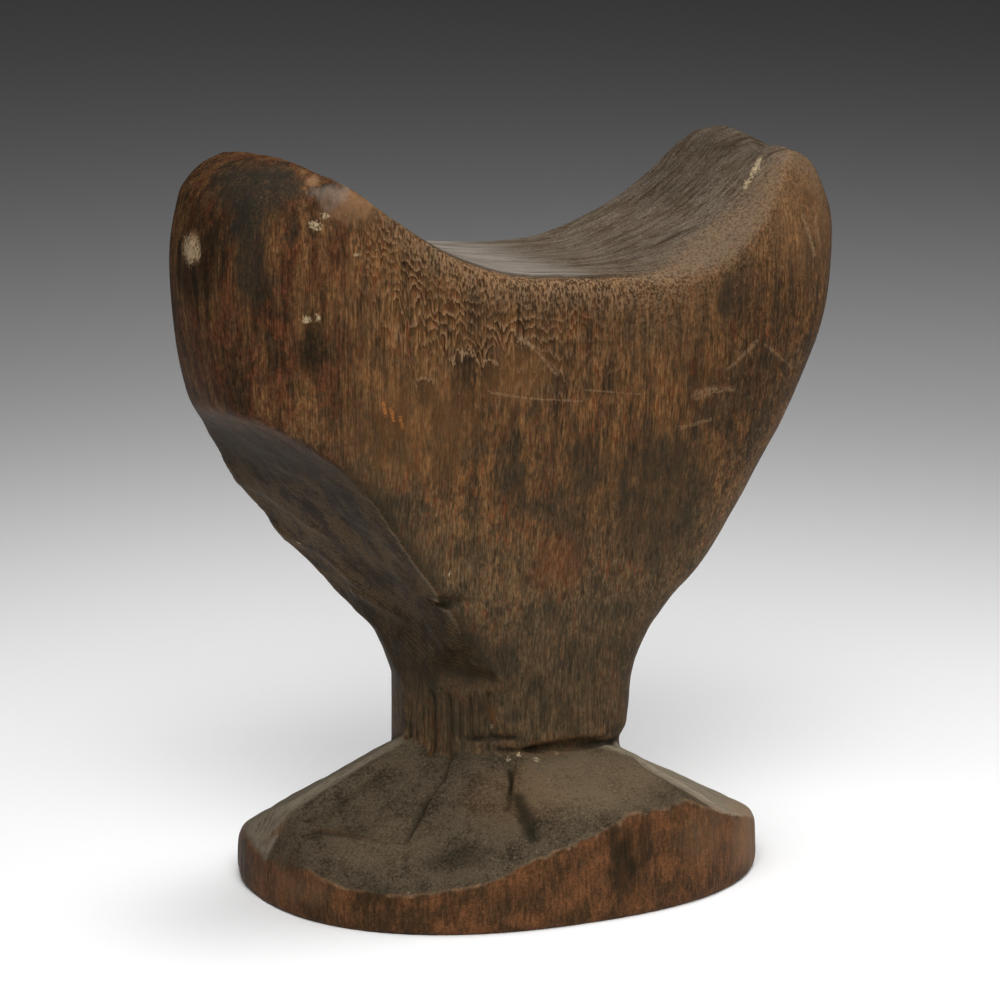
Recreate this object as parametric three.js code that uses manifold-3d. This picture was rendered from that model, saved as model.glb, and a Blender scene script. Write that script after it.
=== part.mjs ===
// Carved wooden headrest: one block of dark wood cut into a flared, saddle-topped head, a short
// neck and a low faceted foot. Millimetres, +Z up, front towards -Y. The shape is worked out round
// the neck's own axis, and the finished piece is then set with the middle of its box over the origin.
import * as THREE from "three";
import { mergeVertices } from "three/addons/utils/BufferGeometryUtils.js";
import Module from "manifold-3d";

const wasm = await Module();
wasm.setup();

// Heights of the main forms
const TOP = 176.4;
const WIDEST = 152;
const SHOULDER = 113;
const FLARE = 92;
const WAIST = 48;
const NECK_FOOT = 34;
const BURIED = 16;

// Half sizes of the head at its widest, and of the neck at its waist
const HEAD = { left: 80, right: 86.6, front: 32.4, back: 32.4 };
const NECK = { left: 25, right: 28.5, front: 24, back: 24 };

// Foot: half sizes on the ground, roundness of the plan, and the height it is cut down from
const FOOT = { left: 63.2, right: 62.6, front: 52, back: 49, power: 2.3, height: 37 };

// Mesh fineness
const ROUND = 72;
const HEAD_STEP = 4;
const ADZE_STEPS = 12;
const GROOVE_ROUND = 10;
const GROOVE_LONG = 6;

// Reach of a cut that goes right across the foot, how far a cut's block stands out over the wood,
// and how much a scallop's ends rise for its depth
const WHOLE = [-90, 90];
const CLEARANCE = 30;
const DISH = 1.2;

// Smooth interpolation through [position, value] stations, flat beyond both ends and without
// overshoot between them.
function through(stations) {
  const x = stations.map((s) => s[0]);
  const y = stations.map((s) => s[1]);
  const slope = x.slice(1).map((_, i) => (y[i + 1] - y[i]) / (x[i + 1] - x[i]));
  const tangent = x.map((_, i) => {
    if (i === 0 || i === x.length - 1) return slope[Math.min(i, slope.length - 1)];
    if (slope[i - 1] * slope[i] <= 0) return 0;
    return (2 * slope[i - 1] * slope[i]) / (slope[i - 1] + slope[i]);
  });
  return (at) => {
    if (at <= x[0]) return y[0];
    if (at >= x[x.length - 1]) return y[y.length - 1];
    const i = x.findIndex((_, k) => at < x[k + 1]);
    const h = x[i + 1] - x[i];
    const t = (at - x[i]) / h;
    const rest = 1 - t;
    return (
      y[i] * (1 + 2 * t) * rest * rest +
      h * tangent[i] * t * rest * rest +
      y[i + 1] * t * t * (3 - 2 * t) -
      h * tangent[i + 1] * t * t * rest
    );
  };
}

const smooth = (t) => THREE.MathUtils.smoothstep(t, 0, 1);
const bell = (t) => Math.exp(-t * t);

// Half sizes of a level section at height z, one function for each side
const head = {
  left: through([
    [WAIST, NECK.left], [54, 26.6], [61, 29.4], [67, 37], [76, 49], [FLARE, 66],
    [SHOULDER, 72.8], [134, 78.3], [WIDEST, HEAD.left], [167, 77.6], [174, 71.5], [TOP, 63.5],
  ]),
  right: through([
    [NECK_FOOT, 25], [37, NECK.right - 1], [WAIST, NECK.right], [58.5, 33], [63, 37], [67, 40.6],
    [70, 45.5], [FLARE, 62.2], [SHOULDER, 76], [134, 84.8], [WIDEST, HEAD.right], [165, 82.4], [172, 76.5],
    [TOP, 66],
  ]),
  front: through([
    [WAIST, NECK.front], [62, 25], [76, 26.6], [FLARE, 28.6], [SHOULDER, 31],
    [134, HEAD.front], [WIDEST, HEAD.front - 0.4], [168, 30], [TOP, 25],
  ]),
  back: through([
    [WAIST, NECK.back], [62, 25], [72, 28], [FLARE, 31], [SHOULDER, 32],
    [134, HEAD.back], [WIDEST, HEAD.back - 0.4], [168, 31], [TOP, 27],
  ]),
};

// How boxy each corner of the section is: 2 is an ellipse, 6 nearly a rectangle
const power = {
  frontLeft: through([[WAIST, 2], [64, 3.4], [78, 5.5], [FLARE, 5], [SHOULDER, 3.8], [134, 3], [TOP, 3]]),
  backLeft: through([
    [WAIST, 2.2], [60, 3], [67, 4.2], [FLARE, 4.2], [SHOULDER, 3.6], [134, 3], [TOP, 2.6],
  ]),
  frontRight: through([[WAIST, 4.4], [70, 3.8], [FLARE, 3.2], [SHOULDER, 2.8], [134, 2.6], [TOP, 2.4]]),
  backRight: through([[WAIST, 3.2], [FLARE, 3.4], [134, 4.5], [TOP, 4.5]]),
};

// Height of the saddle along the headrest at its back rim, with the two horns at its ends
const saddle = through([
  [-90, 190], [-66, 179], [-58, 175.8], [-49, 170.6], [-31, 158], [-22, 153.2], [-7, 149.1],
  [11, 147.6], [20, 147.5], [42, 153.4], [58, 163.4], [65, 170.2], [69, 171.8], [73, 170.6],
  [77, 168.2], [81, 165.5], [90, 155],
]);
const SADDLE_FROM = -92;
const SADDLE_TO = 92;
const SADDLE_COLUMNS = 42;
const SADDLE_ROWS = [
  -46, -34, -32, -30, -28, -26, -23, -19, -15, -11, -7, -4, -2.5, -1, 0.5, 2, 5, 10, 16, 21, 25,
  28, 30.5, 33, 46,
];

// Past this far from the middle the saddle's cut runs level, outside the wood
const RIM_END = 34;

// The rims roll over a little, the right horn rolls over its whole front, the left one slopes back
const RIM = { from: 26, over: 6, drop: 1.5 };
const FRONT_ROLL = { from: 10, over: 16, drop: 5.6 };
const LEFT_SLOPE = { from: -14, over: 42, drop: 8 };
const BACK_LOBE = { y: 17, width: 10, rise: 1.6 };
const CLEFT = { y: -1, width: 3, depth: 4 };

function saddleHeight(x, y) {
  const past = (roll, at) => roll.drop * Math.max(0, (at - roll.from) / roll.over) ** 2;
  const rim = past(RIM, Math.abs(y));
  const frontRoll = smooth((x - 18) / 34) * past(FRONT_ROLL, -y);
  const leftSlope = smooth((-x - 48) / 14) * past(LEFT_SLOPE, y);
  const lobe = smooth((x - 58) / 10) * BACK_LOBE.rise * bell((y - BACK_LOBE.y) / BACK_LOBE.width);
  const cleft = smooth((x - 57) / 12) * CLEFT.depth * bell((y - CLEFT.y) / CLEFT.width);
  return saddle(x) - rim - frontRoll - leftSlope + lobe - cleft;
}

// Closed geometry between two rows-by-columns sheets of points
function between(columns, rows, lower, upper) {
  const position = [];
  const index = [];
  const count = (columns + 1) * (rows + 1);
  for (const sheet of [lower, upper]) {
    for (let j = 0; j <= rows; j++) {
      for (let i = 0; i <= columns; i++) position.push(...sheet(i / columns, j / rows));
    }
  }
  const at = (i, j, layer) => layer * count + j * (columns + 1) + i;
  const quad = (a, b, c, d) => index.push(a, b, c, a, c, d);
  for (let j = 0; j < rows; j++) {
    for (let i = 0; i < columns; i++) {
      quad(at(i, j, 0), at(i, j + 1, 0), at(i + 1, j + 1, 0), at(i + 1, j, 0));
      quad(at(i, j, 1), at(i + 1, j, 1), at(i + 1, j + 1, 1), at(i, j + 1, 1));
    }
  }
  for (let i = 0; i < columns; i++) {
    quad(at(i, 0, 0), at(i + 1, 0, 0), at(i + 1, 0, 1), at(i, 0, 1));
    quad(at(i + 1, rows, 0), at(i, rows, 0), at(i, rows, 1), at(i + 1, rows, 1));
  }
  for (let j = 0; j < rows; j++) {
    quad(at(0, j + 1, 0), at(0, j, 0), at(0, j, 1), at(0, j + 1, 1));
    quad(at(columns, j, 0), at(columns, j + 1, 0), at(columns, j + 1, 1), at(columns, j, 1));
  }
  const geometry = new THREE.BufferGeometry();
  geometry.setAttribute("position", new THREE.Float32BufferAttribute(position, 3));
  geometry.setIndex(index);
  return geometry;
}

// Closed geometry through a stack of level rings, each a list of points in the same order
function stack(rings) {
  const round = rings[0].length;
  const position = rings.flat(2);
  const index = [];
  for (let k = 0; k + 1 < rings.length; k++) {
    for (let i = 0; i < round; i++) {
      const a = k * round + i;
      const b = k * round + ((i + 1) % round);
      index.push(a, b, b + round, a, b + round, a + round);
    }
  }
  const last = (rings.length - 1) * round;
  for (let i = 1; i + 1 < round; i++) {
    index.push(0, i + 1, i);
    index.push(last, last + i, last + i + 1);
  }
  const geometry = new THREE.BufferGeometry();
  geometry.setAttribute("position", new THREE.Float32BufferAttribute(position, 3));
  geometry.setIndex(index);
  return geometry;
}

function solid(geometry) {
  const bare = geometry.clone();
  bare.deleteAttribute("normal");
  bare.deleteAttribute("uv");
  const merged = mergeVertices(bare, 1e-4);
  return new wasm.Manifold(
    new wasm.Mesh({
      numProp: 3,
      vertProperties: new Float32Array(merged.attributes.position.array),
      triVerts: new Uint32Array(merged.index.array),
    }),
  );
}

// Level section with its own half size on each side and its own roundness at each corner
function section(size, roundness, z) {
  const ring = [];
  for (let i = 0; i < ROUND; i++) {
    const turn = (2 * Math.PI * i) / ROUND;
    const c = Math.cos(turn);
    const s = Math.sin(turn);
    const across = c < 0 ? size.left : size.right;
    const deep = s < 0 ? size.front : size.back;
    const n = roundness[(s < 0 ? "front" : "back") + (c < 0 ? "Left" : "Right")];
    const reach = (Math.abs(c) ** n + Math.abs(s) ** n) ** (-1 / n);
    ring.push([across * reach * c, deep * reach * s, z]);
  }
  return ring;
}

const sample = (set, z) =>
  Object.fromEntries(Object.entries(set).map(([side, size]) => [side, size(z)]));

// Head and neck before any flat is cut
function headAndNeck() {
  const levels = [BURIED, NECK_FOOT, 37, 41, 45];
  for (let z = WAIST; z < TOP - 8; z += HEAD_STEP) levels.push(z);
  levels.push(TOP - 5.4, TOP - 2.9, TOP - 0.9, TOP);
  return stack(levels.map((z) => section(sample(head, z), sample(power, z), z)));
}

// Everything above the saddle, as a block to cut away
function aboveSaddle() {
  const last = SADDLE_ROWS.length - 1;
  const x = (u) => THREE.MathUtils.lerp(SADDLE_FROM, SADDLE_TO, u);
  const y = (v) => SADDLE_ROWS[Math.round(v * last)];
  return between(
    SADDLE_COLUMNS,
    last,
    (u, v) => [x(u), y(v), saddleHeight(x(u), THREE.MathUtils.clamp(y(v), -RIM_END, RIM_END))],
    (u, v) => [x(u), y(v), TOP + CLEARANCE],
  );
}

// One cut of the adze. It removes what lies outside a flat at `at` that faces `facing`; `down` is
// the way the blade ran. `run` and `wide` are its limits each way, `hollow` is how far the ends of
// the flat rise above its middle and `sink` how far that lies under it, `runIn` and `runOut` the
// radius of the blade's way in and out, and `splay` how much the sides of the cut lean out.
function adze({
  at, facing, down, run, wide, hollow = 0, sink = 0, splay = 0,
  runIn = 0, runInFrom = 0, runOut = 0, runOutFrom = 0,
}) {
  const normal = new THREE.Vector3(...facing).normalize();
  const along = new THREE.Vector3(...down).projectOnPlane(normal).normalize();
  const side = new THREE.Vector3().crossVectors(normal, along);
  const frame = new THREE.Matrix4().makeBasis(along, side, normal).setPosition(...at);
  const steps = hollow || runOut ? ADZE_STEPS : 1;
  const span = (limits, t) => THREE.MathUtils.lerp(limits[0], limits[1], t);
  const rise = (t) => 2 * t - 1;
  const floor = (u, v) => {
    const before = Math.max(0, runInFrom - span(run, u));
    const past = Math.max(0, span(run, u) - runOutFrom);
    const curve = (runIn ? before ** 2 / (2 * runIn) : 0) + (runOut ? past ** 2 / (2 * runOut) : 0);
    return [span(run, u), span(wide, v), curve - sink + hollow * (rise(u) ** 2 + rise(v) ** 2)];
  };
  const roof = (u, v) => [span(run, u) + splay * rise(u), span(wide, v) + splay * rise(v), CLEARANCE];
  return between(steps, steps, floor, roof).applyMatrix4(frame);
}

// A groove that is deepest at its middle and runs out at both ends
function groove({ from, to, radius }) {
  const start = new THREE.Vector3(...from);
  const end = new THREE.Vector3(...to);
  const way = end.clone().sub(start);
  const geometry = new THREE.SphereGeometry(radius, GROOVE_ROUND, GROOVE_LONG);
  geometry.scale(1, way.length() / (2 * radius), 1);
  const turn = new THREE.Quaternion().setFromUnitVectors(new THREE.Vector3(0, 1, 0), way.normalize());
  geometry.applyQuaternion(turn);
  return geometry.translate(...start.add(end).multiplyScalar(0.5));
}

// A shallow round hollow in the left flat, dished so that it runs out at `long` and `wide`
function scallop({ down, across, long, wide, deep }) {
  const cut = { ...LEFT_FLAT, hollow: DISH * deep, sink: deep };
  cut.run = [down - long, down + long];
  cut.wide = [across - wide, across + wide];
  return adze(cut);
}

// Hewn faces on the narrow sides of the head. On the left: the long flat with its way in and out,
// and the hollow over the neck that ends at a slanting edge. On the right: one plain flat.
const LEFT_FLAT = {
  at: [-41.4, -28.5, 93.8], facing: [-0.78, -0.2, -0.59], down: [0.57, 0.15, -0.81],
  run: [-52, 56], wide: [-80, 12], runIn: 60, runInFrom: -8, runOut: 26, runOutFrom: 30,
};
const NECK_HOLLOW = {
  at: [-9.2, -23, 51.3], facing: [-0.66, -0.47, -0.585], down: [0.34, 0.51, -0.79],
  run: [-24, 4], wide: [-44, 24], runOut: 1.6, runOutFrom: -1.6,
};
const RIGHT_FLAT = {
  at: [61.3, 0, 92], facing: [0.81, 0.05, -0.58], down: [-0.58, 0, -0.81],
  run: [-40, 28], wide: [-40, 40],
};

// Scallops in the left flat: how far down it and across it, how long, wide and deep
const SCALLOPS = [
  { down: -14, across: -47, long: 13, wide: 15, deep: 0.7 },
  { down: 8, across: -51, long: 11, wide: 12, deep: 1 },
  { down: 28, across: -47, long: 13, wide: 13, deep: 1.3 },
  { down: 14, across: -20, long: 24, wide: 17, deep: 0.6 },
];

// Knife and adze marks: the chop over the neck, the undercut where the neck meets the foot and the
// upright grooves on the left of the neck
const GROOVES = [
  { from: [-36, -24.6, 74.4], to: [-14.5, -27.3, 72], radius: 1.7 },
  { from: [-13, -24.8, 34.6], to: [24, -23.6, 34.9], radius: 1.6 },
  { from: [-21.5, -17.2, 39.2], to: [-6, -24.4, 38], radius: 1.1 },
  { from: [-22.8, -10.4, 29.5], to: [-22, -10, 49], radius: 1.5 },
  { from: [-25.2, -2.8, 30], to: [-24.4, -2.8, 46], radius: 1.1 },
  { from: [-19.8, -14.5, 30], to: [-19.8, -14.5, 49], radius: 1 },
  { from: [-16.1, -18.2, 34], to: [-16.1, -18.2, 49], radius: 0.9 },
  { from: [-12.7, -20.7, 38], to: [-12.7, -20.7, 50], radius: 1.1 },
];

// Flats cut on the sloping top of the foot, each through the point `at`
const FOOT_FLATS = [
  { at: [-26, -11, 33.2], facing: [-0.394, -0.405, 0.825] },
  { at: [-44.3, -3.4, 28.6], facing: [-0.421, 0.42, 1] },
  { at: [-46, 11, 21.8], facing: [-0.36, 0.62, 1] },
  { at: [-61, -11, 11.6], facing: [-0.85, -0.1, 0.5] },
  { at: [-61.5, 8, 14.5], facing: [-0.8, 0.15, 0.58] },
  { at: [-16, -24, 32.3], facing: [-0.465, -0.593, 1] },
  { at: [9, -50, 24.6], facing: [-0.3, -0.54, 1] },
  { at: [0, -24, 33.2], facing: [0, -0.33, 1] },
  { at: [17.8, -26, 32.6], facing: [0.456, -0.125, 0.881] },
  { at: [21, -20, 32], facing: [0.461, 0.154, 0.874] },
  { at: [0, 24, 27], facing: [0.03, 0.56, 1] },
];

// Two shallow bites out of the foot: one on its left front, stopped at its right and lower sides,
// and one beside the crease that comes down from the front of the neck
const FOOT_BITES = [
  { at: [-37.6, -28.9, 17.1], facing: [-0.394, -0.405, 0.825], down: [-0.682, -0.471, -0.556],
    run: [-36, 0], wide: [-40, 0], splay: 3 },
  { at: [-8.4, -26.4, 30.8], facing: [-0.16, -0.6, 1], down: [-0.5, -0.66, -0.5],
    run: [-6, 20], wide: [-30, 0], splay: 2, runOut: 16, runOutFrom: 9 },
];

function footBlank() {
  const levels = [[0, 0.8], [1, 0.2], [3, 0], [12, 0.2], [20, 0.8], [FOOT.height, 2.5]];
  const corners = ["frontLeft", "frontRight", "backLeft", "backRight"];
  const roundness = Object.fromEntries(corners.map((corner) => [corner, FOOT.power]));
  const sides = ["left", "right", "front", "back"];
  return stack(levels.map(([z, inset]) => {
    const size = Object.fromEntries(sides.map((side) => [side, FOOT[side] - inset]));
    return section(size, roundness, z);
  }));
}

function carve() {
  let foot = solid(footBlank());
  for (const flat of FOOT_FLATS) {
    foot = foot.subtract(solid(adze({ ...flat, down: [1, 1, 0], run: WHOLE, wide: WHOLE })));
  }
  for (const bite of FOOT_BITES) foot = foot.subtract(solid(adze(bite)));
  let body = solid(headAndNeck()).subtract(solid(aboveSaddle()));
  for (const cut of [LEFT_FLAT, NECK_HOLLOW, RIGHT_FLAT]) body = body.subtract(solid(adze(cut)));
  for (const mark of SCALLOPS) body = body.subtract(solid(scallop(mark)));
  let piece = body.add(foot);
  for (const mark of GROOVES) piece = piece.subtract(solid(groove(mark)));
  return piece;
}

function headrest() {
  const made = carve().getMesh();
  const geometry = new THREE.BufferGeometry();
  geometry.setAttribute("position", new THREE.BufferAttribute(new Float32Array(made.vertProperties), 3));
  geometry.setIndex(new THREE.BufferAttribute(new Uint32Array(made.triVerts), 1));
  geometry.computeBoundingBox();
  const middle = geometry.boundingBox.getCenter(new THREE.Vector3());
  geometry.translate(-middle.x, -middle.y, -geometry.boundingBox.min.z);
  geometry.computeVertexNormals();
  const wood = new THREE.MeshStandardMaterial({ color: 0x4a3527, roughness: 0.55, metalness: 0 });
  const mesh = new THREE.Mesh(geometry, wood);
  mesh.name = "headrest";
  return mesh;
}

const piece = new THREE.Group();
piece.add(headrest());

export default piece;
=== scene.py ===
"""Carved wooden headrest: one block of dark wood, hewn, hand-rubbed and worn, on a pale studio floor.

Lengths are millimetres here and become metres where they meet Blender. Axes are the frame's own:
+X along the saddle towards the lower horn, -Y towards the viewer, +Z up, origin under the middle.
"""

import math

import bpy
import numpy as np
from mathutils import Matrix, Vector


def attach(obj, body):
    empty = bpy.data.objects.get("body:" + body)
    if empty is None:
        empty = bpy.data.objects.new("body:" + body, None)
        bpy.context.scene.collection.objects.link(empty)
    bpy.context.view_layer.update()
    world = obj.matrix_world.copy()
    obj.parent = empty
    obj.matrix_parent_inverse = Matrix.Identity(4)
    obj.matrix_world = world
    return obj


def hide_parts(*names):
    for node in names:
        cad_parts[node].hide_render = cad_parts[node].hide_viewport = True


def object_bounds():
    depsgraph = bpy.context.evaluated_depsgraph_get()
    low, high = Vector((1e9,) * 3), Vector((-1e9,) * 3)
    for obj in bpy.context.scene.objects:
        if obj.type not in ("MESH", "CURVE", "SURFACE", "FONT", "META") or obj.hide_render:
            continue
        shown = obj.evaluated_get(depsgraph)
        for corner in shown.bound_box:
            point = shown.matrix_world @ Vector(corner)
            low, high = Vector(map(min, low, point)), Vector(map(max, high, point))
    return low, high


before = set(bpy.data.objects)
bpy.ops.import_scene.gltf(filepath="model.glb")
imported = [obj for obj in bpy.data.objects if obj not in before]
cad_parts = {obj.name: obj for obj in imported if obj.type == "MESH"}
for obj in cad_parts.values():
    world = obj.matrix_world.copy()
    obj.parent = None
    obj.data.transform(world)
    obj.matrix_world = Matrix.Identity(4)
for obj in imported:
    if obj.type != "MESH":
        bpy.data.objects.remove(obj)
CAD_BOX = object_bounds()

MM = 0.001
NODE = "headrest"

# Skin: voxel size of the remesh, rounds of wear, its share on even faces and on true edges
VOXEL = 0.5
WEAR_ROUNDS = 70
WEAR_SHARE = 0.5
EDGE_SHARE = 0.03

# Triangles left in the end, out of the 200,000 that one piece may have
TRIANGLES = 195000

# Rounds of a trial smoothing, how far it moves a point of an even face and one of a true edge, and
# rounds that even out what it finds
TRIAL_ROUNDS = 16
EVEN_LIFT = 0.06
EDGE_LIFT = 0.13
EVENING_ROUNDS = 8

# Share of the way to its neighbours' mean that a point moves in one plain round of smoothing
HALF_WAY = 0.5

# Neck and foot are worn no more than true edges are: heights between which the head's wear eases in
NECK_SPAN = (52, 66)

# Where the solid's edges are rubbed quite soft all the same: centre and reach along each axis
RUBBED = [
    ((-72, 4, 114), (17, 32, 11)),
    ((0, -28, 146), (46, 7, 9)),
    ((-65, 12, 11), (8, 22, 8)),
    ((56, -14, 11), (9, 22, 7)),
]
RUB_ROUNDS = 90

# Height of the foot's top at the neck, spacing of the places where the rim's height is taken, and
# the way the hewn left face looks
FOOT_TOP = 36
RIM_STEP = 2.5
LEFT_HEWN = (-0.78, -0.2, -0.59)

# Half size of the oval round the neck that dust stays clear of
CLEAR_OVAL = (30, 27)

# Edge of the facet at the foot's right that is bare of dust and given a painted sheen: a place on it and
# the way across it
BARE_SHEEN_EDGE = (20, -22)
BARE_SHEEN_WAY = (0.74, 0.68)

# Rounds of smoothing that tell hollows from crests, and that soften the rim's and the hewn face's bounds
HOLLOW_ROUNDS = 24
RIM_ROUNDS = 14
HEWN_ROUNDS = 110

# Unevenness: the zone it is in, its height, the size of its lumps along each axis and its seed
UNEVEN = [
    ("all", 0.3, (24, 24, 34), 1),
    ("all", 0.16, (9, 9, 15), 2),
    ("plain", 0.08, (2, 2, 16), 3),
    ("plain", 0.06, (3.4, 3.4, 30), 4),
    ("hewn", 0.3, (9, 7, 7), 7),
    ("hewn", 0.1, (3, 2, 2), 8),
    ("saddle", 0.1, (16, 2.6, 8), 9),
    ("foot_side", 0.14, (2, 2, 22), 5),
    ("foot_top", 0.22, (7, 7, 7), 10),
    ("foot_top", 0.12, (2.6, 2.6, 2.6), 6),
    ("hollow", 0.5, (2.4, 2.4, 3), 13),
]

# The rough hollow over the neck and the ribs on the foot's side: centre and reach along each axis
HOLLOW = ((-24, -16, 58), (9, 9, 8))
RIBS = ((8, -50, 17), (18, 16, 11))

# Lines that a blade left: the places it runs through, its reach to each side and how deep it is
CUTS = [
    ([(-32, -19, 72.2), (-28.4, -23.4, 72.4), (-24.6, -25.2, 72.8), (-20, -25.8, 73.8)], 0.8, 1.0),
    (
        [(-15.6, -19.6, 35.4), (-3.5, -22, 34.6), (4.5, -22, 34.2), (12.4, -21.4, 33.8), (20, -18.4, 33)],
        1.0,
        1.2,
    ),
    ([(-20.6, -15.7, 37.5), (-15, -19.6, 38), (-8.6, -22.1, 37.9)], 0.8, 0.8),
    ([(-12.3, -22.8, 32), (-14, -27.8, 28.7), (-19.5, -35.3, 24.2)], 0.8, 0.8),
    ([(-14.2, -29.6, 28.4), (-15.5, -39.2, 23.2), (-16.9, -46.2, 19.1)], 2.2, 0.7),
    ([(-26.3, -17.8, 30.6), (-32.7, -20, 24.7), (-40.6, -26, 18)], 1.1, 1.0),
    ([(-41, -26.1, 17.7), (-47.9, -21.2, 18.6), (-51.2, -17.3, 18.9), (-58.5, -9.8, 18.8)], 0.8, 0.9),
    ([(-40, -28.5, 17.2), (-43.9, -32.3, 15.1), (-44.1, -36, 12.8)], 1.0, 0.5),
    ([(-32.5, -6.8, 32.4), (-44, -6.6, 26.2), (-53.5, -6.8, 21.6), (-60.4, -5.4, 17)], 1.5, 0.5),
    ([(-26.6, -5.6, 45), (-27.2, -6.6, 35)], 0.6, 0.8),
    ([(-25.5, -9.2, 48), (-26.1, -9.2, 34)], 0.9, 0.7),
    ([(-23.1, -13, 48.5), (-23.1, -13, 35)], 0.6, 0.6),
    ([(-21.3, -15, 47), (-21.3, -15, 36.5)], 0.5, 0.6),
    ([(-19.4, -16.7, 49), (-19.4, -16.7, 36)], 0.6, 0.6),
    ([(-17.7, -18, 47), (-17.7, -18, 38)], 0.5, 0.5),
    ([(-16, -19.2, 50), (-16, -19.2, 39)], 0.6, 0.6),
]

# Ridges between the hewn faces, in the same way, with how high each stands
RIDGES = [
    ([(-58.5, 31, 95.8), (-55.4, 21.7, 95), (-51.9, 16, 92.4), (-48.1, 11, 88.3), (-45, 4, 85)], 1.7, 0.7),
    ([(-50.6, 30, 85.7), (-46, 25, 81.6), (-43.6, 19, 80.4), (-41, 13.5, 77.6), (-36.5, 9, 72)], 1.5, 0.8),
    ([(-38.5, 18, 69.5), (-35.5, 9, 68), (-31.5, 2, 65.5), (-28, -6, 64)], 1.4, 0.5),
    ([(-31.9, -3.4, 33.6), (-44, -3.2, 27.6), (-58.5, -2.6, 20.8), (-65.3, 2, 12.4)], 1.6, 0.9),
    ([(17.4, -19.5, 31.9), (16.9, -32.3, 30), (20.6, -38.3, 27.6), (24.1, -44.8, 24.8)], 1.3, 0.6),
    ([(20, -22, 30.2), (24.6, -28.4, 26.9), (30, -34.6, 23.4), (35.6, -39, 19.6)], 1.1, 0.6),
    ([(-59, -20.5, 171.5), (-54, -24, 168.9), (-50.5, -26.4, 165.2)], 3.2, 0.7),
    ([(-26, -17, 51.6), (-21, -20.4, 50.3), (-15.8, -22.4, 50)], 0.9, 0.4),
]

# Small pits, and corners rubbed away: centre, reach along each axis and depth
PITS = [
    ((-74, 12, 113), (10, 28, 5), 0.6),
    ((27.5, -8, 37), (6, 12, 5), 1.2),
    ((-23.5, -30.6, 127), (2.6, 3, 6), 0.45),
    ((-30, -30.2, 131), (2, 3, 5), 0.35),
    ((-17.5, -30.8, 127.5), (1.7, 3, 4.6), 0.45),
    ((-24.2, -28, 97.7), (0.6, 3, 2.6), 0.7),
    ((41.8, -28.3, 139.1), (2.4, 3, 5), 0.4),
    ((65.6, -19, 118.8), (0.8, 2, 0.8), 1.0),
    ((-62.6, -25.3, 135.3), (4, 3, 7), 0.3),
    ((-59, -23, 165.5), (3.6, 4, 3), 0.5),
]

# Pale crust and dried deposits: centre, reach along each axis and how thick
CRUSTS = [
    ((-83, -4, 156.4), (4, 5.6, 5.4), 0.35),
    ((-61, -24.6, 163.2), (2.2, 2.5, 1.7), 0.25),
    ((-58.7, -24.8, 165.3), (1.5, 2.5, 1.6), 0.25),
    ((-52.2, -27.5, 156.3), (1.1, 2, 0.8), 0.15),
    ((-63.6, -25, 142.2), (1.5, 2, 1.4), 0.15),
    ((-61.2, -25.8, 142.6), (0.9, 2, 1.6), 0.15),
    ((58.6, -11.4, 166.4), (2, 2, 2.2), 0.12),
    ((55.4, -12.2, 163.6), (1.4, 2, 1.6), 0.1),
    ((-12, -22, 33), (1.5, 2, 0.9), 0.2),
    ((-9.4, -22.4, 34), (1.3, 2, 0.8), 0.2),
    ((-6, -23.5, 32.8), (1.6, 2, 0.9), 0.2),
    ((-2.2, -22.6, 34), (1.3, 2, 0.7), 0.15),
    ((0.4, -22.6, 33.4), (1.2, 2, 0.7), 0.15),
    ((-15.3, -19.4, 41), (0.7, 1.2, 0.9), 0.1),
    ((-29, -25.6, 80.4), (0.6, 2, 1.6), 0.1),
    ((-19.2, -22.4, 49.6), (2.6, 2, 0.7), 0.15),
]


def smoothstep(value, low, high):
    """0 below low, 1 above high, eased between them; low may be the larger one"""
    t = np.clip((value - low) / (high - low), 0, 1)
    return t * t * (3 - 2 * t)


def lattice(i, j, k, seed):
    """A repeatable value from -1 to 1 for each whole-numbered point"""
    mixed = (i * 73856093) ^ (j * 19349663) ^ (k * 83492791) ^ (seed * 2654435761)
    mixed = (mixed ^ (mixed >> 13)) * 1274126177
    return ((mixed ^ (mixed >> 16)) & 0xFFFF) / 32767.5 - 1


def noise(points, size, seed):
    """Smooth noise from -1 to 1, with lumps as wide as size says, in all or along each axis"""
    place = points / np.asarray(size, float)
    cell = np.floor(place).astype(np.int64)
    t = place - cell
    t = t * t * (3 - 2 * t)
    total = np.zeros(len(points))
    for corner in np.ndindex(2, 2, 2):
        weight = np.prod(np.where(corner, t, 1 - t), axis=1)
        total += weight * lattice(*(cell + corner).T, seed)
    return total


def line_mark(points, path, reach):
    """1 on a line through the path's points, fading to its sides and where it runs out"""
    path = np.array(path, float)
    steps = np.linalg.norm(np.diff(path, axis=0), axis=1)
    started = np.concatenate([[0], np.cumsum(steps)])
    distance = np.full(len(points), np.inf)
    share = np.zeros(len(points))
    for k, length in enumerate(steps):
        way = (path[k + 1] - path[k]) / length
        run = np.clip((points - path[k]) @ way, 0, length)
        gap = np.linalg.norm(points - path[k] - run[:, None] * way, axis=1)
        nearer = gap < distance
        distance = np.where(nearer, gap, distance)
        share = np.where(nearer, (started[k] + run) / started[-1], share)
    ends = smoothstep(share, 0, 0.15) * smoothstep(share, 1, 0.85)
    return np.exp(-((distance / reach) ** 2)) * (0.25 + 0.75 * ends)


def spot_mark(points, centre, reach):
    """1 at a spot's centre, fading to nothing a little past its reach"""
    gap = (points - np.array(centre, float)) / np.array(reach, float)
    return np.exp(-((gap ** 2).sum(1) ** 1.5))


# Skin of the carving

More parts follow.
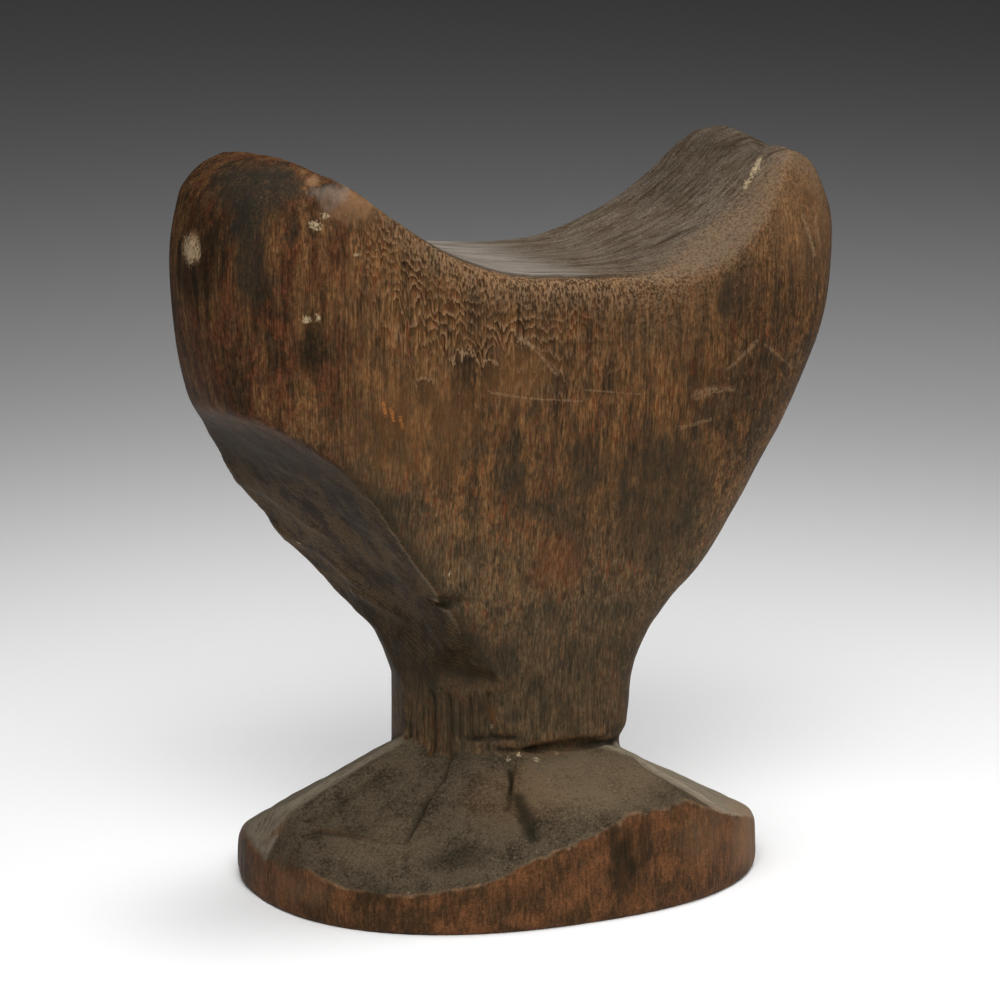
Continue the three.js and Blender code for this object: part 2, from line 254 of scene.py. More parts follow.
def worn_skin(node):
    """A fine, even mesh over the solid's form, as a new object"""
    piece = bpy.data.objects.new("carved_headrest", node.data.copy())
    bpy.context.scene.collection.objects.link(piece)
    remesh = piece.modifiers.new("skin", "REMESH")
    remesh.mode = "VOXEL"
    remesh.voxel_size = VOXEL * MM
    apply_modifiers(piece)
    return piece


def apply_modifiers(piece):
    """Makes the piece's mesh what its modifiers show"""
    bpy.context.view_layer.update()
    graph = bpy.context.evaluated_depsgraph_get()
    made = bpy.data.meshes.new_from_object(piece.evaluated_get(graph))
    piece.modifiers.clear()
    piece.data = made


def read_points(mesh):
    points = np.zeros(len(mesh.vertices) * 3)
    mesh.vertices.foreach_get("co", points)
    return points.reshape(-1, 3) / MM


def write_points(mesh, points):
    mesh.vertices.foreach_set("co", (points * MM).ravel())
    mesh.update()


def read_normals(mesh):
    normals = np.zeros(len(mesh.vertices) * 3, np.float32)
    mesh.vertex_normals.foreach_get("vector", normals)
    return normals.reshape(-1, 3).astype(float)


def read_edges(mesh):
    edges = np.zeros(len(mesh.edges) * 2, np.int32)
    mesh.edges.foreach_get("vertices", edges)
    return edges.reshape(-1, 2)


def relax(values, edges, rounds, share):
    """Moves every row by its own share of the way to the mean of its neighbours, over and over"""
    start, end = edges.T
    size = len(values)
    neighbours = np.bincount(edges.ravel(), minlength=size)
    for _ in range(rounds):
        moved = values.copy()
        for column in range(values.shape[1]):
            value = values[:, column]
            total = np.bincount(start, value[end], size) + np.bincount(end, value[start], size)
            moved[:, column] += share * (total / neighbours - value)
        values = moved
    return values


def even_out(value, edges, rounds):
    """One value for each point, evened out over its neighbours"""
    return relax(value[:, None], edges, rounds, HALF_WAY)[:, 0]


def wear_share(points, edges):
    """How much of the wear each point takes: little on true edges, all of it on even faces"""
    trial = relax(points, edges, TRIAL_ROUNDS, HALF_WAY)
    lift = np.linalg.norm(trial - points, axis=1)
    even = smoothstep(lift, EDGE_LIFT, EVEN_LIFT)
    even = even_out(even, edges, EVENING_ROUNDS)
    head = smoothstep(points[:, 2], *NECK_SPAN)
    return EDGE_SHARE + (WEAR_SHARE - EDGE_SHARE) * head * even ** 2


def rim_height(points):
    """Height of the saddle's rim at each point's place along the headrest"""
    corners = read_points(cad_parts[NODE].data)
    stations = np.arange(corners[:, 0].min(), corners[:, 0].max(), RIM_STEP)
    heights = [corners[np.abs(corners[:, 0] - x) < RIM_STEP, 2].max() for x in stations]
    return np.interp(points[:, 0], stations, heights)


def zones(points, normals):
    """Weights from 0 to 1 of the headrest's differently finished surfaces, some of them given painted sheen
    and highlight, and the depth below its rim
    """
    x, y, z = points.T
    up = normals[:, 2]
    outward = normals[:, 1] * np.clip(y / 12, -1, 1)
    radius = np.hypot(x / CLEAR_OVAL[0], y / CLEAR_OVAL[1])
    hewn_facing = normals @ np.array(LEFT_HEWN)
    foot = smoothstep(z, FOOT_TOP + 2, FOOT_TOP - 2)
    top = smoothstep(z, 132, 142)
    forward = top * smoothstep(-normals[:, 1], 0.16, 0.4) * smoothstep(-normals[:, 1], 0.86, 0.62)
    beyond_left = smoothstep(y, -3.4, -1.6) * smoothstep(x, -26, -32)
    beyond_right = smoothstep((points[:, :2] - BARE_SHEEN_EDGE) @ np.array(BARE_SHEEN_WAY), -7.5, -5)
    bed = top * smoothstep(up, 0.25, 0.55) * smoothstep(x, -56, -44)
    return {
        "saddle": bed * smoothstep(outward, 0.42, 0.14),
        "hewn": smoothstep(hewn_facing, 0.6, 0.86) * smoothstep(z, 48, 56) * smoothstep(z, 116, 98),
        "rim": forward * smoothstep(y, 0, -6) * smoothstep(x, 6, 34) * smoothstep(x, 82, 70),
        # Facets past the foot's ridges, bare of dust and given a painted sheen
        "bare_sheen": foot * smoothstep(up, 0.2, 0.45) * np.maximum(beyond_left, beyond_right),
        "foot_top": foot * smoothstep(up, 0.25, 0.55) * smoothstep(radius, 0.8, 0.92),
        "foot_side": foot * smoothstep(up, 0.5, 0.2) * smoothstep(z, 30, 26),
        "below_rim": rim_height(points) - z,
    }


def relief(points, zone):
    """How far each point stands out from the worn form"""
    finished = np.clip(zone["hewn"] + zone["foot_top"] + zone["saddle"], 0, 1)
    weight = dict(zone, all=1, plain=1 - 0.8 * finished, hollow=spot_mark(points, *HOLLOW))
    height = sum(rise * weight[name] * noise(points, size, seed) for name, rise, size, seed in UNEVEN)
    ribs = np.abs(noise(points, (1.7, 1.7, 18), 11)) - 0.4
    height += zone["foot_side"] * spot_mark(points, *RIBS) * ribs
    for path, reach, depth in CUTS:
        height -= depth * line_mark(points, path, reach)
    for path, reach, rise in RIDGES:
        height += rise * line_mark(points, path, reach)
    for centre, reach, depth in PITS:
        height -= depth * spot_mark(points, centre, reach)
    rough = 0.6 + 0.6 * noise(points, 1.1, 12)
    for centre, reach, thick in CRUSTS:
        height += thick * rough * spot_mark(points, centre, reach)
    return height


def carve(piece):
    """Wears, hews and weathers the skin, and leaves it within the triangle budget"""
    points = read_points(piece.data)
    edges = read_edges(piece.data)
    share = wear_share(points, edges)
    points = relax(points, edges, WEAR_ROUNDS, share)
    rubbed = np.max([spot_mark(points, *place) for place in RUBBED], axis=0)
    points = relax(points, edges, RUB_ROUNDS, WEAR_SHARE * rubbed)
    points = relax(points, edges, 1, HALF_WAY)
    write_points(piece.data, points)
    normals = read_normals(piece.data)
    zone = zones(points, normals)
    height = relief(points, zone)
    height *= smoothstep(points[:, 2], 0.3, 2.5)
    low, high = np.array(CAD_BOX) / MM
    write_points(piece.data, np.clip(points + normals * height[:, None], low, high))
    thin = piece.modifiers.new("thin", "DECIMATE")
    thin.ratio = min(1, TRIANGLES / (2 * len(piece.data.polygons)))
    apply_modifiers(piece)
    piece.data.shade_smooth()


def mark_zones(piece):
    """Writes the zones, the wear of edges and the dirt and painted shade of hollows and cuts on the mesh,
    for the wood to read
    """
    mesh = piece.data
    points = read_points(mesh)
    edges = read_edges(mesh)
    normals = read_normals(mesh)
    values = zones(points, normals)
    far = relax(points, edges, HOLLOW_ROUNDS, HALF_WAY)
    values["proud"] = ((points - far) * normals).sum(1)
    cut = np.zeros(len(points))
    for path, reach, depth in CUTS:
        cut = np.maximum(cut, min(depth, 1) * line_mark(points, path, reach * 1.1))
    values["cut"] = cut
    values["rim"] = even_out(values["rim"], edges, RIM_ROUNDS)
    values["near_hewn"] = even_out(values["hewn"], edges, HEWN_ROUNDS)
    crust = np.zeros(len(points))
    for centre, reach, _ in CRUSTS:
        crust = np.maximum(crust, spot_mark(points, centre, reach))
    values["crust"] = crust
    tint, values["tinted"] = tint_marks(points)
    for name, value in values.items():
        layer = mesh.attributes.new(name, "FLOAT", "POINT")
        layer.data.foreach_set("value", value.astype(np.float32))
    layer = mesh.attributes.new("tint", "FLOAT_COLOR", "POINT")
    layer.data.foreach_set("color", tint.astype(np.float32).ravel())


def tint_marks(points):
    """Colour of the stains, pale places, painted sheen and painted shade at each point and how much they
    cover it, ragged at the edge
    """
    drift = [noise(points, 3.2, seed) + 0.6 * noise(points, 1.4, seed + 3) for seed in (21, 22, 23)]
    ragged = points + 1.5 * np.stack(drift, axis=1)
    colour = np.zeros((len(points), 4))
    clear = np.ones(len(points))
    for centre, reach, tint, share in TINTS:
        gap = np.linalg.norm((ragged - np.array(centre, float)) / np.array(reach, float), axis=1)
        cover = share * smoothstep(gap, 1.3, 0.5)
        colour += (np.array(tint) - colour) * cover[:, None]
        clear *= 1 - cover
    covered = 1 - clear
    return colour / np.maximum(covered, 1e-4)[:, None], covered


# Wood

class Paint:
    """A material's node tree, with one short call for each kind of node"""

    def __init__(self, name):
        self.material = bpy.data.materials.new(name)
        self.material.use_nodes = True
        self.tree = self.material.node_tree
        self.tree.nodes.clear()

    def add(self, kind, inputs=(), **settings):
        node = self.tree.nodes.new(kind)
        for name, value in settings.items():
            setattr(node, name, value)
        for name, value in dict(inputs).items():
            self.put(node.inputs[name], value)
        return node

    def put(self, socket, value):
        if isinstance(value, bpy.types.NodeSocket):
            self.tree.links.new(value, socket)
        else:
            socket.default_value = value

    def math(self, operation, first, second=0.0, third=0.0):
        return self.add("ShaderNodeMath", {0: first, 1: second, 2: third}, operation=operation).outputs[0]

    def times(self, *factors):
        product = factors[0]
        for factor in factors[1:]:
            product = self.math("MULTIPLY", product, factor)
        return product

    def plus(self, *terms):
        total = terms[0]
        for term in terms[1:]:
            total = self.math("ADD", total, term)
        return total

    def vector(self, operation, first, second=(0, 0, 0), scale=1.0):
        inputs = {0: first, 1: second, 3: scale}
        return self.add("ShaderNodeVectorMath", inputs, operation=operation)

    def ease(self, value, low, high, start=0.0, end=1.0):
        """start below low, end above high, smooth between them; low may be the larger one"""
        inputs = {"Value": value, "From Min": low, "From Max": high, "To Min": start, "To Max": end}
        if low > high:
            inputs.update({"From Min": high, "From Max": low, "To Min": end, "To Max": start})
        return self.add("ShaderNodeMapRange", inputs, interpolation_type="SMOOTHSTEP").outputs[0]

    def place(self):
        """The point on the object, in millimetres"""
        point = self.add("ShaderNodeTexCoord").outputs["Object"]
        return self.vector("SCALE", point, scale=1 / MM).outputs[0]

    def noise(self, point, size, detail=2.0, rough=0.5, bend=0.0):
        """Noise round 0.5 with lumps as wide as size says along each axis"""
        spread = self.vector("MULTIPLY", point, tuple(1 / s for s in size)).outputs[0]
        inputs = {"Vector": spread, "Scale": 1.0, "Detail": detail, "Roughness": rough, "Distortion": bend}
        return self.add("ShaderNodeTexNoise", inputs).outputs[0]

    def value(self, name):
        """A zone's weight, as written on the mesh"""
        return self.add("ShaderNodeAttribute", attribute_name=name).outputs["Fac"]

    def from_line(self, point, start, end):
        """Distance from the straight line between two places"""
        way = Vector(end) - Vector(start)
        gap = self.vector("SUBTRACT", point, start).outputs[0]
        run = self.vector("DOT_PRODUCT", gap, tuple(way / way.length_squared)).outputs["Value"]
        share = self.math("MINIMUM", self.math("MAXIMUM", run, 0.0), 1.0)
        nearest = self.vector("SCALE", tuple(way), scale=share).outputs[0]
        return self.vector("DISTANCE", gap, nearest).outputs["Value"]

    def mix(self, first, second, share):
        node = self.add("ShaderNodeMix", data_type="RGBA")
        self.put(node.inputs[0], share)
        self.put(node.inputs[6], first)
        self.put(node.inputs[7], second)
        return node.outputs[2]

    def blend(self, first, second, share):
        """Between two numbers, first where share is 0 and second where it is 1"""
        return self.math("MULTIPLY_ADD", share, self.math("SUBTRACT", second, first), first)

    def shade(self, colour, value):
        """The colour made lighter or darker by value"""
        node = self.add("ShaderNodeMix", data_type="RGBA", blend_type="MULTIPLY")
        node.inputs[0].default_value = 1.0
        self.put(node.inputs[6], colour)
        combined = self.add("ShaderNodeCombineColor", {0: value, 1: value, 2: value}).outputs[0]
        self.put(node.inputs[7], combined)
        return node.outputs[2]


def rgb(red, green, blue):
    """A colour given as it looks on a screen, 0 to 255, as the shader's linear values"""
    def linear(value):
        share = value / 255
        return share / 12.92 if share <= 0.04045 else ((share + 0.055) / 1.055) ** 2.4
    return (linear(red), linear(green), linear(blue), 1.0)


# Tones of the wood, its polish, its dust and its stains, and of the painted reflection, highlights and
# shade laid on it
GOLD = rgb(106, 75, 45)
BROWN = rgb(60, 44, 29)
DEEP = rgb(39, 30, 21)
RED = rgb(88, 47, 27)
MURK = rgb(48, 43, 33)
OLIVE = rgb(86, 71, 51)
CREST = rgb(146, 118, 89)
# Worn rim towards the right, its paleness partly a painted highlight
RIM = rgb(108, 93, 77)
# The saddle's grey, partly a painted reflection of the light above it
SADDLE = rgb(99, 89, 77)
SADDLE_LINE = rgb(66, 57, 47)
# Pale grey painted reflection: laid in a band across the saddle's left part and beside the pale lump at the
# left horn
PAINTED_SHEEN = rgb(150, 143, 134)
# Pale painted highlight: the sheen on the foot's facets past its ridges and the light on the hewn face's
# ridges
FACET_HIGHLIGHT = rgb(138, 126, 108)
STAIN = rgb(36, 35, 29)
DUST = rgb(77, 67, 53)
DUST_DARK = rgb(43, 36, 27)
# Pale tan laid over parts of the foot's top
PALE_TAN = rgb(128, 109, 84)
SPECK = rgb(138, 116, 84)
HEWN = rgb(70, 54, 34)
HEWN_DARK = rgb(36, 27, 17)
ORANGE = rgb(92, 60, 37)
SIDE_DARK = rgb(58, 42, 27)
WORN = rgb(140, 105, 75)
FLECK = rgb(158, 100, 50)
GRAIN = rgb(130, 98, 68)
# Near-black: dirt and stains, and painted shade in cuts, hollows and on walls that face away
GRIME_AND_SHADE = rgb(24, 23, 16)
CRUST = rgb(178, 158, 126)
PATINA = rgb(250, 226, 200)

# Long tongues of the growth lines: middle, top, half width and length
TONGUES = [(-27.3, 133.2, 3.1, 17), (-20.9, 130.8, 1.9, 9), (-36.6, 127.5, 2.2, 8), (-12.5, 134.4, 1.8, 6)]

# Broad tints over the wood: centre, reach along each axis, colour and share
TINTS = [
    ((-14, -30, 126), (9, 12, 7), GOLD, 0.5),
    ((-38, -29, 116), (16, 12, 14), GOLD, 0.35),
    ((-44.5, -29, 119.6), (5, 6, 3), ORANGE, 0.5),
    ((48, -25, 126), (24, 16, 26), DEEP, 0.3),
    ((26, -28, 92), (16, 14, 20), MURK, 0.6),
    ((-2, -28, 100), (22, 14, 10), MURK, 0.35),
    ((-1, -26, 80), (8, 12, 8), RED, 0.4),
    ((0, 0, 52), (60, 60, 20), MURK, 0.45),
    ((-76, -8, 150), (14, 30, 40), DEEP, 0.2),
    ((-74, -8, 170), (18, 26, 11), DEEP, 0.28),
    ((-72, -14, 170), (8, 14, 7), STAIN, 0.9),
    ((-74.5, -18, 158), (3.6, 8, 14), STAIN, 0.85),
    ((-65, -19, 172), (3.6, 8, 4), STAIN, 0.8),
    ((-82, -6, 154), (6, 10, 11), GRIME_AND_SHADE, 0.75),
    ((-83, -4, 156.6), (3, 4, 3.6), WORN, 0.6),
    ((-62.6, -25.3, 135), (3.6, 6, 6.5), GRIME_AND_SHADE, 0.8),
    ((-59.8, -20, 173), (1.8, 4, 1.5), WORN, 0.7),
    ((-52.6, -25, 167.2), (5.4, 7, 4), WORN, 0.6),
    # Painted sheen beside the pale lump at the left horn's rim
    ((-56.5, -23, 169.6), (4, 6, 2.4), PAINTED_SHEEN, 0.25),
    ((-46, -27, 115), (5, 8, 6), GRIME_AND_SHADE, 0.35),
    ((42, -28, 139.2), (2.3, 6, 5), STAIN, 0.7),
    ((69, -18, 160), (2.6, 6, 3), DEEP, 0.5),
    ((52, 16, 166), (18, 18, 14), DEEP, 0.35),
    ((66, 3, 169), (7, 7, 6), DEEP, 0.45),
    ((30, -12, 152), (14, 8, 5), DEEP, 0.2),
    ((-69, 0, 110), (18, 32, 8), DEEP, 0.65),
    ((67, -18, 156), (14, 14, 16), GRAIN, 0.28),
    ((-22, -14, 44), (9, 12, 14), MURK, 0.45),
    ((-15.2, -20, 44), (0.9, 3, 4), ORANGE, 0.8),
    ((4, -50, 14), (3.8, 12, 10), GRIME_AND_SHADE, 0.7),
    ((10.4, -49, 18), (2, 10, 8), GRIME_AND_SHADE, 0.6),
    ((-52, -35, 8.5), (4.6, 10, 3), GRIME_AND_SHADE, 0.45),
    ((-60, -25, 9), (1.6, 6, 3), GRIME_AND_SHADE, 0.35),
    ((-22, -47, 9), (5, 10, 3), GRIME_AND_SHADE, 0.35),
    ((-62, -18, 7), (6, 12, 4), WORN, 0.2),
    ((48, -32, 10), (14, 14, 9), WORN, 0.42),
    ((26, -42, 16), (9, 10, 8), WORN, 0.2),
    ((3, -34, 29), (18, 15, 8), PALE_TAN, 0.34),
    ((-15, -31, 26), (13, 12, 7), GOLD, 0.2),
    ((-44, -24, 17), (14, 10, 6), PALE_TAN, 0.16),
    # Painted shade on the steep wall beside the foot's crease
    ((-15, -38, 23), (3, 8, 5), GRIME_AND_SHADE, 0.35),
    ((-30, -38, 16), (14, 4, 3), GRIME_AND_SHADE, 0.45),
]

# Thin scratches: two ends, half width, colour and share
SCRATCHES = [
    ((43, -27.4, 122.5), (51.1, -26.2, 128.3), 0.6, CREST, 0.4),
    ((53.7, -25.5, 127.1), (65.3, -19.3, 119), 0.4, CREST, 0.4),
    ((33.8, -28.3, 117.3), (38.6, -27.8, 117.8), 1.2, CREST, 0.35),
    ((38.6, -27.8, 117.8), (44.6, -26.6, 117.5), 0.6, CREST, 0.35),
    ((29.2, -28.1, 109.8), (38, -27.1, 110.9), 0.5, CREST, 0.35),
    ((-46.6, -28.6, 122.4), (-46, -28.7, 119.4), 0.4, FLECK, 0.7),
    ((-44.8, -28.8, 121), (-44.2, -28.8, 118.2), 0.4, FLECK, 0.7),
    ((-42.6, -28.9, 118.8), (-42, -28.9, 116.4), 0.4, FLECK, 0.6),
    ((-13.5, -30.9, 135), (-10, -30.9, 132.6), 0.4, CREST, 0.45),
    ((-10, -30.9, 132.6), (-4.2, -30.6, 125.8), 0.35, CREST, 0.4),
    ((-21.3, -30.3, 123.1), (-11.7, -30.2, 120.8), 0.3, CREST, 0.35),
    ((-11.7, -30.2, 120.8), (2.8, -30, 118.8), 0.25, CREST, 0.4),
    ((3.7, -30.2, 121.4), (18, -29.7, 119.1), 0.25, CREST, 0.3),
    ((-48.4, -38.2, 12), (-45, -39.6, 9.6), 0.16, CREST, 0.7),
    ((66.4, -20.2, 156), (70.6, -18.8, 146.5), 0.7, CREST, 0.6),
    ((71.2, -18, 155), (72.6, -17.2, 148), 0.6, CREST, 0.5),
    ((-46.6, 22, 80.2), (-46.2, 20.5, 79.6), 0.3, CRUST, 0.7),
    ((60.4, -9.4, 169), (57.4, -11.6, 166), 0.9, CRUST, 0.8),
    ((57, -12.4, 165), (54.8, -13.4, 162.6), 0.7, CRUST, 0.6),
]


def growth_lines(paint, at, below):
    """The year rings where the faces cut them: scales and tongues hanging from the rim, closer towards it.
    Gives how far through a band each point is: dark at the start of one, pale at its end"""
    spread = paint.math("LOGARITHM", paint.math("MULTIPLY_ADD", below, 1 / 6, 1.0), math.e)
    sway = paint.noise(at, (8, 8, 20), 1.0, 0.5)
    small = paint.math("ABSOLUTE", paint.plus(paint.noise(at, (2.3, 2.3, 9), 0.0, 0.5), -0.5))
    large = paint.math("ABSOLUTE", paint.plus(paint.noise(at, (5, 5, 24), 0.0, 0.5), -0.5))
    fringe = paint.noise(at, (0.5, 0.5, 3), 0.0, 0.5)
    ring = paint.plus(paint.times(spread, 6.0), paint.times(sway, 3.0), paint.times(fringe, 0.7))
    ring = paint.plus(ring, paint.times(small, 2.8), paint.times(large, paint.ease(below, 6, 24, 0.0, 8.0)))
    return paint.math("FRACT", ring)


def tongue(paint, colour, at, drift, thread, shape):
    """The colour with one long dark tongue in it on the front, pale along its ragged top"""
    middle, top, half, length = shape
    across, depth, height = paint.add("ShaderNodeSeparateXYZ", {0: at}).outputs
    share = paint.times(paint.plus(across, paint.times(drift, 4.0), -middle - 2), 1 / half)
    square = paint.times(share, share)
    arch = paint.plus(paint.times(square, -half * 0.6), top - 4, paint.times(drift, 8.0))
    below = paint.plus(arch, paint.times(height, -1.0))
    front = paint.ease(depth, 0, -12)
    inside = paint.times(paint.ease(below, 0.4, 0.8), paint.ease(below, length, length * 0.4), front)
    dark = paint.times(paint.ease(square, 1.1, 0.6), inside)
    edge = paint.times(paint.ease(below, -0.3, 0.0), paint.ease(below, 0.9, 0.5), front)
    crest = paint.times(paint.ease(square, 1.5, 1.1), edge)
    colour = paint.mix(colour, DEEP, paint.times(dark, paint.ease(thread, 0.3, 0.6, 0.9, 0.6)))
    return paint.mix(colour, CREST, paint.times(crest, paint.ease(thread, 0.36, 0.56, 0.2, 0.75)))


def flank(paint, at, across, below, grit):
    """The long-grained faces of head and neck: their colour, their height and their short threads"""
    stria = paint.noise(at, (0.4, 0.4, 10), 2.0, 0.6)
    thread = paint.noise(at, (0.5, 0.5, 1.8), 2.0, 0.7)
    dash = paint.noise(at, (0.9, 0.9, 4), 2.0, 0.65)
    streak = paint.noise(at, (3, 3, 22), 2.0, 0.6)
    cloud = paint.noise(at, (13, 13, 18), 3.0, 0.6)
    murk = paint.noise(at, (6, 6, 8), 4.0, 0.75)
    lower = paint.ease(below, 44, 80)
    left = paint.ease(across, -46, -64)
    right = paint.ease(across, 2, 26)

    colour = paint.mix(BROWN, GOLD, paint.ease(paint.plus(streak, paint.times(cloud, 0.8)), 0.66, 1.16))
    colour = paint.mix(colour, OLIVE, paint.times(lower, 0.7))
    reddish = paint.times(paint.ease(dash, 0.5, 0.66), paint.ease(cloud, 0.42, 0.6, 0.3, 0.8))
    colour = paint.mix(colour, RED, reddish)
    murky = paint.times(paint.ease(murk, 0.46, 0.64), paint.ease(below, 12, 50, 0.3, 0.7))
    colour = paint.mix(colour, MURK, murky)
    colour = paint.mix(colour, DEEP, paint.ease(dash, 0.46, 0.32, 0.0, 0.6))
    smoky = paint.mix(DEEP, RED, paint.ease(murk, 0.42, 0.58, 0.0, 0.8))
    colour = paint.mix(colour, smoky, paint.times(left, paint.ease(streak, 0.6, 0.4, 0.2, 0.75)))
    colour = paint.shade(colour, paint.ease(stria, 0.34, 0.66, 1.32, 0.68))
    colour = paint.shade(colour, paint.ease(thread, 0.32, 0.68, 0.74, 1.38))
    curl = paint.noise(at, (1.8, 1.8, 2.6), 2.0, 0.7, 1.5)
    curly = paint.math("MAXIMUM", paint.ease(across, 28, 50), paint.times(left, 0.6))
    colour = paint.shade(colour, paint.blend(1.0, paint.ease(curl, 0.36, 0.64, 0.66, 1.36), curly))

    saw = growth_lines(paint, at, below)
    reach = paint.times(paint.ease(below, 2, 6), paint.ease(below, 40, 18), paint.ease(across, -58, -42))
    reach = paint.times(reach, paint.ease(across, 16, -14, 0.25, 1.0))
    band = paint.times(reach, paint.ease(murk, 0.44, 0.58, 1.0, 0.5))
    step = paint.times(paint.ease(saw, 0.56, 0.92), paint.ease(thread, 0.36, 0.56, 0.4, 1.0))
    crest = paint.times(step, paint.ease(dash, 0.4, 0.56, 0.3, 1.0))
    gloom = paint.times(paint.ease(saw, 0.7, 0.0), band)
    colour = paint.shade(colour, paint.math("MULTIPLY_ADD", gloom, -0.7, 1.1))
    colour = paint.mix(colour, CREST, paint.times(crest, band, 0.6))
    for shape in TONGUES:
        colour = tongue(paint, colour, at, dash, thread, shape)

    flecks = paint.mix(BROWN, CREST, paint.ease(paint.blend(thread, grit, right), 0.42, 0.58))
    pepper = paint.times(right, paint.ease(below, 26, 6, 0.0, 0.25))
    lip = paint.times(paint.ease(below, 11, 2, 0.0, 0.55), paint.ease(right, 0, 1, 1.0, 0.5))
    peppered = paint.plus(lip, pepper)
    colour = paint.mix(colour, flecks, paint.times(peppered, paint.ease(across, -52, -40)))
    rough = paint.plus(paint.times(stria, -1.0), paint.times(step, reach, 0.36), paint.times(grit, 0.5))
    return colour, rough, thread


def wood():
    """Dark wood with its grain upright: growth lines, pores, polish, dust, stains and scratches"""
    paint = Paint("dark_wood")
    at = paint.place()
    grit = paint.noise(at, (0.7, 0.7, 0.7), 2.0, 0.7)
    sand = paint.noise(at, (0.3, 0.3, 0.3), 1.0, 0.6)
    cloud = paint.noise(at, (7, 7, 9), 4.0, 0.7)
    below = paint.value("below_rim")
    saddle = paint.value("saddle")
    hewn = paint.value("hewn")
    foot_top = paint.value("foot_top")
    foot_side = paint.value("foot_side")
    proud = paint.value("proud")
    parts = paint.add("ShaderNodeSeparateXYZ", {0: at}).outputs

    colour, lines, thread = flank(paint, at, parts[0], below, grit)

    # Foot: reddish brown sides, dusty top
    fibre = paint.noise(at, (0.7, 0.7, 3.5), 2.0, 0.65)
    side = paint.mix(SIDE_DARK, ORANGE, paint.ease(paint.plus(paint.times(fibre, 0.3), cloud), 0.5, 0.8))
    side = paint.shade(side, paint.ease(fibre, 0.3, 0.7, 0.84, 1.2))
    side = paint.shade(side, paint.ease(grit, 0.3, 0.7, 0.8, 1.24))
    side = paint.shade(side, paint.ease(sand, 0.3, 0.7, 0.8, 1.24))
    colour = paint.mix(colour, side, foot_side)
    dusty = paint.mix(DUST_DARK, DUST, paint.ease(paint.plus(grit, cloud), 0.7, 1.15))
    specks = paint.times(paint.ease(grit, 0.6, 0.74), paint.ease(parts[0], -40, -8, 0.08, 0.34))
    dusty = paint.mix(dusty, SPECK, specks)
    dusty = paint.shade(dusty, paint.ease(sand, 0.3, 0.7, 0.72, 1.3))
    colour = paint.mix(colour, dusty, foot_top)
    # Facets past the foot's ridges: bare of dust, paler and streaked with a painted sheen, brighter towards
    # the right
    scrape = paint.noise(at, (5, 0.8, 2.4), 2.0, 0.65)
    bare_sheen = paint.mix(MURK, FACET_HIGHLIGHT, paint.ease(scrape, 0.26, 0.56, 0.45, 1.0))
    bare_sheen = paint.shade(bare_sheen, paint.ease(sand, 0.3, 0.7, 0.84, 1.16))
    bare_sheen = paint.shade(bare_sheen, paint.ease(parts[0], -20, 20, 0.72, 1.12))
    colour = paint.mix(colour, bare_sheen, paint.times(paint.value("bare_sheen"), 0.85))

    # Hewn left face: smooth, dark, with faint slanting lines, a painted sheen over its lower part and
    # painted highlights on its ridges
    slant = paint.vector("DOT_PRODUCT", at, (0.4, 0.65, -0.65)).outputs["Value"]
    comb = paint.math("SINE", paint.plus(paint.times(slant, 5.0), paint.times(cloud, 14.0)))
    smooth = paint.mix(HEWN_DARK, HEWN, paint.ease(paint.plus(cloud, paint.times(grit, 0.4)), 0.56, 0.84))
    smooth = paint.shade(smooth, paint.ease(comb, -1, 1, 0.76, 1.28))
    # Lighter towards the face's lower part: a painted sheen
    smooth = paint.shade(smooth, paint.ease(parts[2], 98, 84, 1.0, 1.35))
    smooth = paint.shade(smooth, paint.ease(sand, 0.3, 0.7, 0.84, 1.16))
    smooth = paint.shade(smooth, paint.ease(grit, 0.3, 0.7, 0.8, 1.2))
    # The front darkened in a band along its edge with the hewn face
    colour = paint.mix(colour, MURK, paint.ease(paint.value("near_hewn"), 0.02, 0.5, 0.0, 0.75))
    colour = paint.mix(colour, GRIME_AND_SHADE, paint.ease(paint.value("near_hewn"), 0.2, 0.6, 0.0, 0.3))
    # Painted highlight along the ridges between the hewn facets
    ridge_highlight = paint.times(paint.ease(proud, 0.06, 0.45), paint.ease(hewn, 0.9, 1.0), 0.6)
    smooth = paint.mix(smooth, FACET_HIGHLIGHT, ridge_highlight)
    colour = paint.mix(colour, smooth, paint.times(hewn, 0.94))

    # Saddle: grey polish whose grey is partly a painted reflection of the light above, with fine lines
    # along it and a streaked band of painted reflection across its left part; a paler worn rim towards the
    # right, its paleness partly a painted highlight
    line = paint.noise(at, (24, 1.6, 4), 3.0, 0.7, 0.3)
    hair = paint.noise(at, (16, 0.7, 2.4), 2.0, 0.6)
    polish = paint.mix(SADDLE_LINE, SADDLE, paint.ease(line, 0.34, 0.56))
    polish = paint.shade(polish, paint.ease(hair, 0.3, 0.7, 0.76, 1.24))
    polish = paint.shade(polish, paint.ease(sand, 0.3, 0.7, 0.7, 1.32))
    polish = paint.shade(polish, paint.ease(grit, 0.3, 0.7, 0.76, 1.22))
    polish = paint.mix(polish, BROWN, paint.ease(cloud, 0.46, 0.66, 0.0, 0.4))
    # A band across the saddle's left part made paler with a painted reflection, streaked along the fine
    # lines
    light = paint.times(paint.ease(parts[0], -36, -16), paint.ease(parts[0], 14, -10))
    polish = paint.mix(polish, PAINTED_SHEEN, paint.times(light, paint.ease(line, 0.36, 0.56, 0.25, 0.75)))
    colour = paint.mix(colour, polish, paint.times(saddle, 0.9))
    lip = paint.times(saddle, paint.plus(1.0, paint.times(saddle, -1.0)), paint.ease(parts[0], 34, 4), 2.6)
    colour = paint.mix(colour, GRIME_AND_SHADE, lip)
